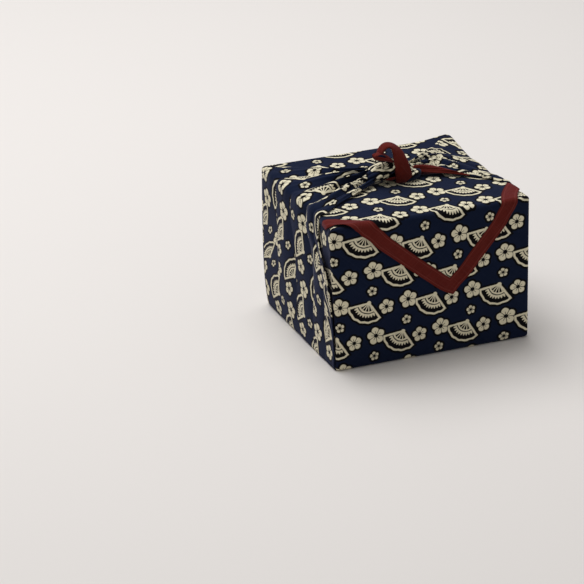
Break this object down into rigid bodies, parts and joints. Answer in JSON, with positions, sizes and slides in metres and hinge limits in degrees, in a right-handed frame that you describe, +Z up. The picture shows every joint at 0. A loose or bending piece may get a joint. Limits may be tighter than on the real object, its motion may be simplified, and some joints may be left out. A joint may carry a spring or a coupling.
{
  "type": "furoshiki wrap on a box",
  "caption": "Square cotton wrapping cloth tied round a box: a bordered corner hangs down the front as a V, and the side corners are gathered over the top in a square knot.",
  "frame": {"origin": "under the middle of the bundle's bounds, on the surface that it stands on", "axes": "+Z up; +X to the right along the front, which is the side with the hanging V; +Y from the front to the back"},
  "size_m": [0.2094, 0.1814, 0.1868],
  "materials": {
    "printed_cotton": "matt slubby cotton, indigo with a cream print and a red border",
    "paperboard": "matt uncoated board"
  },
  "bodies": {
    "root": {"furoshiki_cloth": "printed_cotton", "box": "paperboard"}
  },
  "joints": []
}
